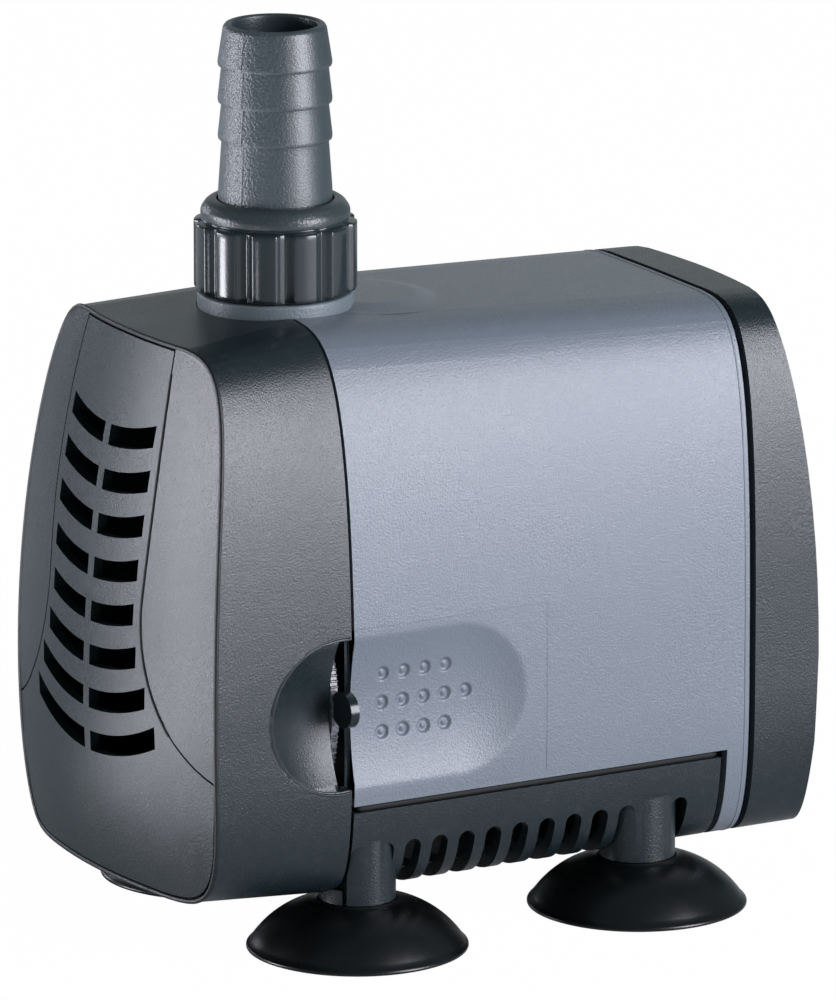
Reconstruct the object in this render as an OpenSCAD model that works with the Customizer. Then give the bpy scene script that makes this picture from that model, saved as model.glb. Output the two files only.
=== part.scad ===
// Submersible fountain pump: a long moulded body on four suction cups, with a vented front
// cover, a hose outlet on top and a magnet-driven impeller inside.
// X runs along the pump towards the cable end, Z is up, the cups stand on z = 0.

/* [Body] */
// Furthest point of the vented front end
front_x = -92.25; // [-96:0.25:-90]
// Joint between the front cover and the casing
front_seam_x = -46.5; // [-47.5:0.25:-46]
// Joint between the casing and the rear cover
rear_seam_x = 63.5; // [61.25:0.25:66.25]
// Furthest point of the rear end
rear_x = 86.75; // [84:0.25:92]
// Half width of the body at the front end
end_half_w = 50.25; // [48.5:0.25:51]
// Half width of the body at the front seam
front_half_w = 47.5; // [46.75:0.25:48.5]
// Half width of the body at the rear seam
rear_half_w = 46.25; // [45:0.25:47]
// Height of the body's widest level
waist_z = 60; // [58:1:64]
// Top of the body at the front end
front_top_z = 146.25; // [144:0.25:148]
// Top of the body at the front seam
seam_top_z = 149.25; // [148.5:0.25:150.5]
// Top of the body at the rear seam
rear_top_z = 144.75; // [143:0.25:147]
// Underside of the body at the front end
front_low_z = 17.25; // [15:0.25:18.5]
// Underside of the body
belly_z = 13.5; // [12.5:0.25:14.5]
// Wall of the moulded shells
wall = 2.5; // [2.2:0.1:2.8]
// Open line between the front cover and the casing
seam_gap = 0.8; // [0.5:0.1:1.2]
// Open line between the casing and the rear cover
rear_gap = 1.7; // [1.2:0.1:1.8]
// Plan radius of the bowed front end
front_bow_r = 160; // [150:5:185]
// Plan radius of the bowed rear end
rear_bow_r = 195; // [170:5:230]

/* [Vents] */
// Rows of vent slots
vent_rows = 8; // [5:1:8]
// Height of one vent slot
vent_h = 4.9; // [4:0.1:5.4]
// Distance from one row of vents to the next
vent_pitch = 10.5; // [9.5:0.05:10.7]
// Height of the lowest row at the middle bar
vent_z = 49; // [48:0.1:51]
// Radius of the smile that each row follows
vent_smile_r = 66; // [55:1:90]
// Width of the middle bar
vent_bar = 2.8; // [2:0.1:4]

/* [Base strainer] */
// Top edge of the strainer tray
tray_top_z = 35.8; // [34.5:0.1:37]
// Rear end of the strainer tray
tray_rear_x = 54.4; // [52:0.2:55]
// Number of slots along each side
tray_slots = 13; // [9:1:13]
// Width of one slot
tray_slot_w = 4.3; // [3.4:0.1:4.6]
// Middle of the first slot
tray_slot_x = -43.9; // [-44.2:0.1:-43]
// Distance from slot to slot
tray_slot_pitch = 7.31; // [7.1:0.01:7.4]
// Top of the slots
tray_slot_top_z = 27.1; // [25:0.1:30]

/* [Feet] */
// Place of the front feet along the pump
foot_front_x = -39.75; // [-40.25:0.25:-38.75]
// Place of the rear feet along the pump
foot_rear_x = 36.5; // [34:0.25:38]
// Distance of each foot from the middle plane
foot_y = 36.9; // [36:0.1:37.2]
// Radius of the foot posts
post_r = 9.1; // [8.6:0.1:9.3]
// Lower end of the foot posts
post_z = 12.5; // [12:0.1:13]
// Radius of a suction cup
cup_r = 26.3; // [24:0.1:28]

/* [Outlet] */
// Place of the outlet along the pump
outlet_x = -41.15; // [-41.75:0.1:-40.75]
// Radius over the ridges of the hose tail, for 25 mm hose
ridge_r = 13.5; // [13:0.1:13.8]
// Bore of the hose tail
tail_bore_r = 10.1; // [9:0.1:10.5]
// Top of the hose tail
tail_top_z = 216; // [212:0.5:222]
// Distance from ridge to ridge
ridge_pitch = 8.8; // [8:0.1:9]
// Radius of the outlet thread, one inch pipe
thread_r = 16.4; // [16.2:0.05:16.6]
// Underside of the union nut
nut_z = 153.9; // [153.6:0.1:154.4]
// Height of the union nut
nut_h = 20.4; // [19:0.1:22]
// Radius of the collar under the nut
collar_r = 18.2; // [17.8:0.1:18.4]

/* [Flow regulator] */
// Radius of the toothed rim
rim_r = 43.5; // [42.5:0.1:43.8]
// Thickness of the regulator plate
plate_t = 1.9; // [1.6:0.1:2]
// Half angle of the toothed sector
sector_half = 34; // [30:1:36]
// Radius of the thumb wheel on the rim
thumb_r = 5; // [4:0.1:5.2]
// Radius of the round recess at the regulator
recess_r = 18.2; // [17:0.1:19]
// Depth of the recess
recess_depth = 5; // [4.5:0.1:5.2]

/* [Pump and motor] */
// Height of the shaft above the ground
shaft_z = 60; // [59.5:0.1:60.5]
// Radius of the ceramic shaft
shaft_r = 2.5; // [2:0.1:3]
// Running clearance of bushes and pivots
run_gap = 0.05; // [0.03:0.01:0.08]
// Radius of the impeller
impeller_r = 25; // [22:0.5:26]
// Number of impeller blades
blades = 7; // [5:1:8]
// Radius of the magnet rotor
magnet_r = 15.5; // [14:0.1:15.8]
// Inner radius of the rotor well
well_r = 17; // [16.5:0.1:17.2]
// Outer radius of the chamber
chamber_r = 33; // [32:0.5:33.5]
// Length of the stator stack
stack_l = 40; // [30:1:42]

/* [Hidden] */
$fn = 96;
fine = 120;
light = [0.58, 0.60, 0.66];
dark = [0.20, 0.25, 0.27];
glossy = [0.12, 0.16, 0.17];
rubber = [0.05, 0.05, 0.06];
eps = 0.2;
big = 300;

// outline of the body: how square its sides and crown are at the end, the seam and the rear
rim_steps = 96;
end_powers = [9, 1.5];
seam_powers = [6.2, 2.1];
rear_powers = [8, 2.8];
low_powers = [10.5, 3.25];

// ends
bow_level = 58;
bow_reach = 110;
up_bow_r = 350;
low_bow_r = 300;

// vented panel
panel_waist = 23.5;
panel_side_r = 283;
panel_side_z = 109.4;
panel_flare_r = 39.2;
panel_flare_z = 85.1;
panel_turn = asin((panel_side_z - panel_flare_z) / (panel_side_r + panel_flare_r));
panel_side_y = panel_waist - panel_side_r;
panel_flare_y = panel_side_y + (panel_side_r + panel_flare_r) * cos(panel_turn);
panel_steps = 16;
panel_gap = 0.5;
panel_rim = 0.6;
vent_edge = 2.7;
panel_play = 0.3;
ledge_w = 3;
ledge_t = 1.4;

// fits between shells
slide_gap = 0.3;
lip_t = 1.5;
lip_l = 4;
front_lip = 1.2;
rear_lip = 3;
tray_gap = 1.7;
tongue_h = 2.6;
tray_front_z = 19;
collar_gap = 0.6;
collar_z = 153.5;
mound_z = seam_top_z - wall;
mound_h = 0.7;
mound_r = 20.5;
mound_at = 22.7;

// recess, dish and dimples
recess_ball_r = (recess_r * recess_r + recess_depth * recess_depth) / (2 * recess_depth);
recess_x = front_seam_x - 3.1;
skin = 2;
dish_depth = 2.5;
dish_r = 18;
dish_ball_r = (dish_r * dish_r + dish_depth * dish_depth) / (2 * dish_depth);
dish_end_x = front_seam_x + 29.5;
dimple_r = 2;
dimple_depth = 0.8;
dimple_pitch_x = 5.63;
dimple_pitch_z = 7.1;
dimple_x = front_seam_x + 8.9;

// stations of the pump along the shaft
plate_x = front_seam_x - 3.6;
slot_x = plate_x - 0.3;
cover_x = plate_x + plate_t + 0.3;
cover_t = 2.5;
chamber_x = cover_x + cover_t;
chamber_back_x = front_seam_x + 21;
back_t = 3;
motor_x = chamber_back_x;
motor_rear_x = rear_seam_x - 9;
hub_r = 7;
hub_x = plate_x - 1.4;
eye_r = 17;
eye_in_r = 9;
eye_windows = 6;
front_bush_r = 4.5;
front_bush_x = cover_x - 1;
rear_bush_x = motor_rear_x - 14;
rear_bush_r = 5.5;
rear_bush_l = 4;
well_t = 1.5;
well_end_x = rear_bush_x + rear_bush_l;
rotor_x = chamber_back_x + 8;
rotor_end_x = rear_bush_x - 6;
dog_in_r = 6;
dog_out_r = 11;
dog_depth = 6;
dog_half = 20;
screw_y = 20;
screw_dz = 33;
screw_r = 1.6;
ear_r = 5.2;
ear_half = 4.4;

// stator
core_x = (rotor_x + rotor_end_x - stack_l) / 2;
leg_in = 17;
leg_out = 31;
core_top_z = shaft_z + 58;
yoke_h = 14;
pole_z = shaft_z - 18;
pole_gap = 5;
coil_z = shaft_z + 21;
coil_top_z = core_top_z - yoke_h - 1;
coil_t = 5;
bobbin_t = 1.2;

// motor shell
motor_inset = wall + 0.5;
motor_wall = 1.8;
motor_floor_z = shaft_z - 21;

// chamber, seals and impeller
duct_r = 13.5;
duct_bore_r = 11;
duct_z = chamber_r + shaft_z + 4;
seal_r = impeller_r + 5.8;
seal_t = 1;
impeller_x = chamber_x + 3.2;
impeller_back_x = chamber_back_x - back_t - 1.5;

// regulator
teeth = 38;
thumb_rise = 1.8;
thumb_t = 3.1;

// suction cups
stem_r = 4;
stem_top_z = 21;
neck_r = 9.9;
skirt_bulge = 2;
skirt_z = 1.8;

// outlet
shoulder_h = 4.4;
lip_h = 3;
lobes = 12;
lobe_r = 5.6;
lobe_at = 13.8;
lobe_turn = 23.6;
nut_r = 18.2;
tail_step = 0.75;
tail_wall_r = 12.2;
tail_base_z = nut_z + nut_h - 0.5;
tail_flange_r = 16.1;
tail_flange_t = 2.6;
flange_z = nut_z + nut_h - lip_h - tail_flange_t - 0.2;
gasket_t = 2;
neck_z = nut_z - 7;
neck_top_z = flange_z - gasket_t;
ridge_z = tail_top_z - 9.8;
ridges = floor((ridge_z - tail_base_z) / ridge_pitch);

// rear end
gland_z = 108;
gland_r = 7.5;
gland_t = 2.4;
gland_out = 5.5;
cord_r = 3.6;

// one point of a body outline: a soft crown above the waist, squarer below it
function rim_point(a, half_w, top, low, up_powers) =
    let (c = cos(a), s = sin(a), powers = s >= 0 ? up_powers : low_powers,
        reach = s >= 0 ? top - waist_z : waist_z - low)
    [sign(c) * half_w * pow(abs(c), 2 / powers[0]),
     waist_z + sign(s) * reach * pow(abs(s), 2 / powers[1])];

// outline at x, drawn in by inset: straight lines run from the end to the seam and on to the rear
function rim(a, x, inset) = let (seam = rim_point(a, front_half_w - inset, seam_top_z - inset,
        belly_z + inset, seam_powers))
    x < front_seam_x
    ? seam + (front_seam_x - x) / (front_seam_x - front_x) * (rim_point(a, end_half_w - inset,
        front_top_z - inset, front_low_z + inset, end_powers) - seam)
    : seam + (x - front_seam_x) / (rear_seam_x - front_seam_x) * (rim_point(a,
        rear_half_w - inset, rear_top_z - inset, belly_z + inset, rear_powers) - seam);

function blend(a, b, t) = a + (b - a) * t;

// sweep a (y, z) outline along X
module along_x(x0, x1) {
    translate([x0, 0, 0]) rotate([90, 0, 90]) linear_extrude(x1 - x0) children();
}

// sweep an (x, z) outline along Y, both sides of the middle plane
module along_y(y0, y1) {
    for (side = [0, 1]) mirror([0, side, 0])
        translate([0, y1, 0]) rotate([90, 0, 0]) linear_extrude(y1 - y0) children();
}

// round bar along the shaft line
module rod_x(x0, x1, r) {
    translate([x0, 0, shaft_z]) rotate([0, 90, 0]) cylinder(r = r, h = x1 - x0);
}

// round bar on the outlet line
module rod_z(z0, z1, r) {
    translate([outlet_x, 0, z0]) cylinder(r = r, h = z1 - z0);
}

// everything behind x
module behind(x) {
    translate([x, -big / 2, -big / 2]) cube(big);
}

// everything above z
module above(z) {
    translate([-big / 2, -big / 2, z]) cube(big);
}

module slab(x, inset) {
    along_x(x, x + eps) polygon([for (i = [0:rim_steps - 1]) rim(360 * i / rim_steps, x, inset)]);
}

// the body between two stations, drawn in from its surface by inset
module form(x0, x1, inset) {
    hull() {
        slab(x0, inset);
        slab(x1 - eps, inset);
    }
}

// bowed end turned about a vertical line, drawn in above and below its fullest level
function draw_in(dz) = let (r = dz > 0 ? up_bow_r : low_bow_r) r - sqrt(r * r - dz * dz);
module bow(r) {
    steps = concat([for (k = [-5:-1]) k * bow_reach / 5], [for (k = [0:12]) k * bow_reach / 12]);
    rotate_extrude($fn = fine) translate([0, bow_level]) polygon(concat([[0, -bow_reach]],
        [for (dz = steps) [r - draw_in(dz), dz]], [[0, bow_reach]]));
}

module front_bow(inset) {
    translate([front_x + front_bow_r, 0, 0]) bow(front_bow_r - inset);
}

module rear_bow(inset) {
    translate([rear_x - rear_bow_r, 0, 0]) bow(rear_bow_r - inset);
}

module front_form(x1, inset) {
    intersection() {
        form(front_x - 1, x1, inset);
        front_bow(inset);
    }
}

// outline of the vented panel: a slim column whose sides run tangent into wide flares lower down
module panel_outline(grow) {
    side_r = panel_side_r + grow;
    flare_r = panel_flare_r - grow;
    top_turn = -asin((seam_top_z + 10 - panel_side_z) / side_r);
    right = concat(
        [for (i = [0:panel_steps]) let (a = blend(top_turn, panel_turn, i / panel_steps))
            [panel_side_y + side_r * cos(a), panel_side_z - side_r * sin(a)]],
        [for (i = [1:panel_steps]) let (a = blend(-panel_turn, 90, i / panel_steps))
            [panel_flare_y - flare_r * cos(a), panel_flare_z - flare_r * sin(a)]],
        [[panel_flare_y, 0]]);
    polygon(concat(right, [for (i = [len(right) - 1:-1:0]) [-right[i][0], right[i][1]]]));
}

// half width of the panel at a height
function panel_half(z) = z > panel_side_z - panel_side_r * sin(panel_turn)
    ? panel_side_y + sqrt(pow(panel_side_r, 2) - pow(z - panel_side_z, 2))
    : panel_flare_y - sqrt(pow(panel_flare_r, 2) - pow(panel_flare_z - z, 2));
function smile_rise(y) = vent_smile_r - sqrt(pow(vent_smile_r, 2) - pow(y, 2));
function vent_reach(z, y) = panel_half(z + smile_rise(y)) - vent_edge;

// one side of a smiling slot, its middle bar at (0, z)
module vent_slot(z) {
    y0 = vent_bar / 2;
    y1 = vent_reach(z, vent_reach(z, panel_waist));
    intersection() {
        translate([0, z + vent_smile_r]) difference() {
            circle(r = vent_smile_r + vent_h / 2, $fn = fine);
            circle(r = vent_smile_r - vent_h / 2, $fn = fine);
        }
        translate([y0, z - vent_h]) square([y1 - y0, 6 * vent_h]);
    }
}

module vent_outlines() {
    for (k = [0:vent_rows - 1], side = [0, 1]) mirror([side, 0]) vent_slot(vent_z + k * vent_pitch);
}

// round scoop and finger slot where the regulator comes through the side
module recess_ball(grow) {
    translate([recess_x, -(front_half_w - recess_depth + recess_ball_r), shaft_z])
        sphere(r = recess_ball_r + grow, $fn = fine);
}

// long thumb dish on the casing
module dish(grow) {
    y = -(front_half_w - dish_depth + dish_ball_r);
    translate([front_seam_x - 5, y, shaft_z]) rotate([0, 90, 0])
        cylinder(r = dish_ball_r + grow, h = dish_end_x - front_seam_x + 5, $fn = fine);
    translate([dish_end_x, y, shaft_z]) sphere(r = dish_ball_r + grow, $fn = fine);
}

module dimples() {
    y = -(front_half_w - dish_depth + dish_ball_r);
    for (row = [-1:1], i = [0:(row == 0 ? 4 : 3)])
        translate([dimple_x + i * dimple_pitch_x,
            y + sqrt(pow(dish_ball_r, 2) - pow(row * dimple_pitch_z, 2)) - dimple_r + dimple_depth,
            shaft_z + 1.3 + row * dimple_pitch_z]) sphere(r = dimple_r, $fn = 32);
}

module posts(x, r, z0, z1) {
    for (side = [-1, 1]) translate([x, side * foot_y, z0]) cylinder(r = r, h = z1 - z0);
}

module front_cover() {
    color(dark) difference() {
        union() {
            difference() {
                front_form(front_seam_x - seam_gap / 2, 0);
                difference() {
                    front_form(front_seam_x + 1, wall);
                    intersection() {
                        recess_ball(skin);
                        translate([-big, -big, 0]) cube(big);
                    }
                }
                intersection() {
                    form(front_x - 1, front_seam_x - 5, panel_rim);
                    difference() {
                        front_bow(-1);
                        front_bow(wall + panel_play);
                    }
                    along_x(front_x - 5, front_x + 30) panel_outline(panel_gap);
                }
            }
            // ledge that carries the vented panel
            intersection() {
                form(front_x - 1, front_seam_x - 5, wall - 0.4);
                difference() {
                    front_bow(wall);
                    front_bow(wall + ledge_t);
                }
                along_x(front_x - 5, front_x + 30) difference() {
                    panel_outline(panel_gap + 1);
                    panel_outline(-ledge_w);
                }
            }
            // foot posts are shared with the tray at the seam
            difference() {
                posts(foot_front_x, post_r, post_z, belly_z + wall);
                behind(front_seam_x - seam_gap / 2);
            }
        }
        recess_ball(0);
        translate([slot_x, -60, shaft_z - recess_r]) cube([10, 60, 2 * recess_r]);
        rod_z(duct_z, neck_top_z, collar_r + collar_gap);
    }
}

module front_grille() {
    color(dark) difference() {
        intersection() {
            form(front_x - 1, front_seam_x - 5, panel_rim + panel_gap);
            difference() {
                front_bow(0);
                front_bow(wall);
            }
            along_x(front_x - 5, front_x + 30) panel_outline(0);
        }
        along_x(front_x - 5, front_x + 30) vent_outlines();
    }
}

module mid_casing() {
    x0 = front_seam_x + seam_gap / 2;
    x1 = rear_seam_x - rear_gap;
    color(light) difference() {
        union() {
            difference() {
                union() {
                    form(x0, x1, 0);
                    // spigots that enter the two covers
                    form(front_seam_x - front_lip, rear_seam_x + rear_lip, wall + slide_gap);
                }
                difference() {
                    union() {
                        form(x0 + lip_l, x1 - lip_l, wall);
                        form(front_seam_x - 5, rear_seam_x + 5, wall + slide_gap + lip_t);
                    }
                    dish(skin);
                }
                // seat of the strainer tray
                translate([tray_rear_x + tray_gap - big, -big / 2, tray_top_z + tray_gap - big])
                    cube(big);
            }
            // collar under the union nut and the swelling behind it
            rod_z(mound_z + 0.4, collar_z, collar_r);
            intersection() {
                form(x0, outlet_x + 60, -mound_h);
                translate([outlet_x + mound_at, 0, mound_z]) cylinder(r = mound_r, h = 20);
            }
        }
        rod_z(duct_z, neck_top_z, thread_r + 0.3);
        dish(0);
        dimples();
        // room for the thumb wheel in front of the casing
        translate([front_seam_x - 10, -60, shaft_z - recess_r]) cube([9.8, 60, 2 * recess_r]);
    }
}

module rear_cover() {
    color(dark) difference() {
        intersection() {
            form(rear_seam_x, rear_x + 1, 0);
            rear_bow(0);
        }
        intersection() {
            form(rear_seam_x - 1, rear_x + 1, wall);
            rear_bow(wall);
        }
        translate([rear_x - 30, 0, gland_z]) rotate([0, 90, 0]) cylinder(r = gland_r - 2, h = 40);
    }
}

module tray_shape(inset, x0, x1, top) {
    difference() {
        form(x0, x1, inset);
        above(top);
    }
}

module base_strainer() {
    x0 = front_seam_x + seam_gap / 2;
    color(dark) difference() {
        union() {
            difference() {
                tray_shape(0, x0, tray_rear_x, tray_top_z);
                tray_shape(wall, x0 + wall, tray_rear_x - wall, big / 2);
                // low front wall, clear of the pump chamber
                intersection() {
                    form(x0 - 1, x0 + wall + 1, wall);
                    above(tray_front_z);
                }
                along_y(24, 60) for (k = [0:tray_slots - 1]) {
                    x = tray_slot_x + k * tray_slot_pitch;
                    translate([x, tray_slot_top_z - tray_slot_w / 2]) circle(d = tray_slot_w);
                    translate([x - tray_slot_w / 2, 0])
                        square([tray_slot_w, tray_slot_top_z - tray_slot_w / 2]);
                }
            }
            // tongue behind the casing wall
            difference() {
                form(x0 + 4, tray_rear_x - 4, wall - 0.3);
                form(x0 + 3, tray_rear_x - 3, wall + slide_gap + lip_t);
                above(tray_top_z + tongue_h);
                translate([-big / 2, -big / 2, tray_top_z - 3 - big]) cube(big);
                difference() {
                    above(tray_top_z);
                    form(x0, tray_rear_x, wall + slide_gap);
                }
            }
            for (x = [foot_front_x, foot_rear_x]) difference() {
                posts(x, post_r, post_z, tray_slot_top_z + 1);
                translate([-big + x0, -big / 2, 0]) cube(big);
            }
        }
        for (x = [foot_front_x, foot_rear_x]) posts(x, stem_r, 0, stem_top_z + 0.5);
    }
}

// suction cup: stem, domed skirt and a hollow under it
function skirt_point(t) = let (dr = cup_r - neck_r, dz = post_z - 0.3 - skirt_z,
        l = norm([dr, dz]), b = skirt_bulge * 4 * t * (1 - t))
    [neck_r + dr * t + b * dz / l, post_z - 0.3 - dz * t + b * dr / l];

module suction_cup(x, side) {
    color(rubber) translate([x, side * foot_y, 0]) rotate_extrude() polygon(concat(
        [[0, stem_top_z], [stem_r - 0.4, stem_top_z], [stem_r - run_gap, stem_top_z - 1],
         [stem_r - run_gap, post_z - 0.1], [neck_r, post_z - 0.1]],
        [for (i = [0:8]) skirt_point(i / 8)],
        [[cup_r, skirt_z - 0.7], [cup_r - 0.9, 0], [cup_r - 3, 0], [cup_r - 8, 3.4],
         [neck_r, 6.2], [0, 7.4]]));
}

// conical ridges, the lowest one runs down to the base
module hose_tail() {
    color(dark) translate([outlet_x, 0, 0]) rotate_extrude() polygon(concat(
        [[tail_bore_r, flange_z], [tail_bore_r, tail_top_z - 0.6], [tail_bore_r + 0.4, tail_top_z],
         [tail_wall_r - 0.5, tail_top_z], [tail_wall_r, tail_top_z - 0.5]],
        [for (k = [0:ridges - 1], p = [[ridge_r, 0.35], [ridge_r - 0.15, 0], [ridge_r - tail_step, -0.15]])
            [p[0], ridge_z - k * ridge_pitch + p[1]]],
        [[ridge_r, ridge_z - ridges * ridge_pitch], [ridge_r, tail_base_z - 2.2],
         [ridge_r - 0.1, flange_z + tail_flange_t], [tail_flange_r, flange_z + tail_flange_t],
         [tail_flange_r, flange_z]]));
}

module union_nut() {
    color(glossy) {
        translate([outlet_x, 0, nut_z]) linear_extrude(nut_h - shoulder_h) difference() {
            union() {
                circle(r = nut_r);
                for (k = [0:lobes - 1]) rotate(lobe_turn + k * 360 / lobes)
                    translate([lobe_at, 0]) circle(r = lobe_r, $fn = 48);
            }
            circle(r = thread_r + 0.3);
        }
        // smooth shoulder and the lip that holds the hose tail
        translate([outlet_x, 0, nut_z + nut_h - shoulder_h]) rotate_extrude() polygon([
            [thread_r + 0.3, 0], [nut_r + 0.5, 0], [nut_r - 0.9, 2.6], [nut_r - 2.4, shoulder_h],
            [ridge_r + 0.3, shoulder_h], [ridge_r + 0.3, shoulder_h - lip_h],
            [thread_r + 0.3, shoulder_h - lip_h]]);
    }
}

module outlet_gasket() {
    color(rubber) difference() {
        rod_z(neck_top_z, flange_z, tail_flange_r - 0.3);
        rod_z(neck_top_z - 1, flange_z + 1, tail_bore_r + 0.4);
    }
}

module screw_row(x0, x1, r) {
    for (y = [-screw_y, screw_y], dz = [-screw_dz, screw_dz])
        translate([x0, y, shaft_z + dz]) rotate([0, 90, 0]) cylinder(r = r, h = x1 - x0);
}

// round body with four ears, bored for the screws
module eared_disc(x0, x1) {
    turn = atan2(screw_dz, screw_y);
    reach = norm([screw_y, screw_dz]);
    turns = [turn, 180 - turn, 180 + turn, -turn];
    along_x(x0, x1) translate([0, shaft_z]) difference() {
        union() {
            circle(r = chamber_r);
            for (a = turns) rotate(a) {
                translate([chamber_r - 3, -ear_half]) square([reach - chamber_r + 3, 2 * ear_half]);
                translate([reach, 0]) circle(r = ear_r);
            }
        }
        for (a = turns) rotate(a) translate([reach, 0]) circle(r = screw_r + 0.3);
    }
}

module pump_chamber() {
    color(dark) difference() {
        union() {
            eared_disc(chamber_x, chamber_back_x);
            difference() {
                rod_z(shaft_z + 20, neck_z + 1, duct_r);
                translate([chamber_x - 40, -30, 0]) cube([40, 60, duct_z]);
            }
            rod_z(neck_z, neck_top_z, thread_r);
        }
        rod_x(chamber_x - 1, chamber_back_x - back_t, impeller_r + 4);
        rod_x(chamber_x, chamber_back_x + 1, well_r);
        rod_z(duct_z - 0.1, neck_top_z + 1, duct_bore_r);
        translate([chamber_x + 2, -duct_bore_r, shaft_z])
            cube([chamber_back_x - back_t - chamber_x - 2, 2 * duct_bore_r, duct_z - shaft_z + 3]);
        // grooves of the two face seals
        for (x = [chamber_x, chamber_back_x]) difference() {
            rod_x(x - seal_t, x + seal_t, seal_r + seal_t);
            rod_x(x - 2, x + 2, seal_r - seal_t);
        }
    }
}

module seal_ring(x, ring_r, t) {
    translate([x, 0, shaft_z]) rotate([0, 90, 0]) rotate_extrude()
        translate([ring_r, 0]) circle(r = t, $fn = 24);
}

module chamber_seal() {
    color(rubber) seal_ring(chamber_x + seal_t / 2, seal_r, seal_t / 2);
}

// six windows around the hub
module windows(x0, x1) {
    difference() {
        rod_x(x0, x1, eye_r);
        rod_x(x0 - 1, x1 + 1, eye_in_r);
        for (k = [0:eye_windows - 1]) translate([x0 - 1, 0, shaft_z])
            rotate([k * 360 / eye_windows + 15, 0, 0])
                rotate([90, 0, 90]) linear_extrude(x1 - x0 + 2)
                    polygon([[0, 0], [40, 0], [40 * cos(30), 40 * sin(30)]]);
    }
}

module chamber_cover() {
    color(dark) difference() {
        union() {
            eared_disc(cover_x, chamber_x);
            rod_x(hub_x, cover_x, hub_r - run_gap);
            rod_x(hub_x, plate_x - 0.2, hub_r + 0.8);
            rod_x(cover_x, chamber_x + 2, hub_r);
        }
        windows(cover_x - 1, chamber_x + 1);
        rod_x(front_bush_x, chamber_x + 3, front_bush_r);
    }
}

module flow_regulator() {
    reach = 2 * rim_r;
    spread = reach * tan(sector_half);
    color(dark) difference() {
        union() {
            rod_x(plate_x, plate_x + plate_t, eye_r + 2);
            // sector with a toothed rim, facing the finger slot
            intersection() {
                rod_x(plate_x, plate_x + plate_t, rim_r);
                along_x(plate_x - 1, plate_x + plate_t + 1)
                    polygon([[0, shaft_z], [-reach, shaft_z - spread], [-reach, shaft_z + spread]]);
            }
            // thumb wheel that stands out of the recess
            translate([plate_x, -(rim_r + 4.5), shaft_z + thumb_rise]) rotate([0, 90, 0])
                cylinder(r = thumb_r, h = thumb_t);
            translate([plate_x, -(rim_r + 2), shaft_z + thumb_rise - 3]) cube([plate_t, 6, 6]);
        }
        for (i = [0:teeth]) if (abs(i - teeth / 2) > 3) translate([plate_x - 1, 0, shaft_z])
            rotate([180 - sector_half + 2 * i * sector_half / teeth, 0, 0])
                translate([0, rim_r + 0.2, 0]) rotate([0, 90, 0])
                    cylinder(r = 0.7, h = plate_t + 2, $fn = 6);
        rod_x(plate_x - 1, plate_x + plate_t + 1, hub_r);
        windows(plate_x - 1, plate_x + plate_t + 1);
    }
}

// part of a ring around the shaft, centred on angle a
module sector(x0, x1, r0, r1, a) {
    spread = 2 * r1 * tan(dog_half);
    along_x(x0, x1) translate([0, shaft_z]) intersection() {
        difference() {
            circle(r = r1);
            circle(r = r0);
        }
        rotate(a) polygon([[0, 0], [2 * r1, -spread], [2 * r1, spread]]);
    }
}

module impeller() {
    color([0.75, 0.76, 0.74]) difference() {
        union() {
            rod_x(impeller_x, rotor_x - 0.6, 6.5);
            rod_x(impeller_back_x - 2, impeller_back_x, 16);
            for (k = [0:blades - 1]) translate([impeller_x, 0, shaft_z])
                rotate([k * 360 / blades, 0, 0]) translate([0, 4, -1])
                    cube([impeller_back_x - impeller_x - 1, impeller_r - 4, 2]);
            // driving dog
            sector(rotor_x - 4, rotor_x + dog_depth - 1, 5, dog_out_r - 0.4, 0);
        }
        rod_x(impeller_x - 1, rotor_x + dog_depth, shaft_r + run_gap);
        rod_x(rotor_x - 0.6, rotor_x + dog_depth, dog_in_r + 0.4);
    }
}

module magnet_rotor() {
    color([0.30, 0.30, 0.32]) difference() {
        union() {
            difference() {
                rod_x(rotor_x, rotor_end_x, magnet_r);
                rod_x(rotor_x - 1, rotor_x + dog_depth, dog_out_r);
            }
            rod_x(rotor_x, rotor_x + dog_depth + 1, dog_in_r);
            sector(rotor_x, rotor_x + dog_depth + 1, 5, dog_out_r + 1, -2 * dog_half - 1);
        }
        rod_x(rotor_x - 1, rotor_end_x + 1, shaft_r + run_gap);
    }
}

module rotor_shaft() {
    color([0.92, 0.92, 0.90]) rod_x(front_bush_x + 1, well_end_x - 0.5, shaft_r);
}

module bush(x0, x1, hole_x0, hole_x1, r) {
    color(rubber) difference() {
        rod_x(x0, x1, r);
        rod_x(hole_x0, hole_x1, shaft_r);
    }
}

module front_bush() {
    bush(front_bush_x, chamber_x + 2, front_bush_x + 1, chamber_x + 3, front_bush_r);
}

module rear_bush() {
    bush(rear_bush_x, well_end_x, rear_bush_x - 1, well_end_x - 0.5, rear_bush_r);
}

module thrust_washers() {
    color([0.85, 0.85, 0.82]) for (x = [chamber_x + 2.1, rotor_end_x + 0.4]) difference() {
        rod_x(x, x + 0.9, 5);
        rod_x(x - 1, x + 2, shaft_r + 0.2);
    }
}

module motor_housing() {
    color(dark) difference() {
        union() {
            difference() {
                form(motor_x + 0.02, motor_rear_x, motor_inset);
                form(motor_x + back_t, motor_rear_x + 1, motor_inset + motor_wall);
                translate([-big / 2, -big / 2, motor_floor_z - big]) cube(big);
            }
            intersection() {
                form(motor_x + 0.02, motor_rear_x, motor_inset);
                translate([motor_x, -60, motor_floor_z]) cube([motor_rear_x - motor_x, 120, 2]);
            }
            rod_x(motor_x + 0.02, well_end_x, well_r + well_t);
        }
        // clear of the dish in the casing wall
        dish(skin + 0.5);
        rod_x(motor_x - 1, rear_bush_x, well_r);
        rod_x(rear_bush_x - 1, well_end_x, rear_bush_r);
        screw_row(motor_x - 1, motor_x + 8, screw_r);
    }
}

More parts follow.
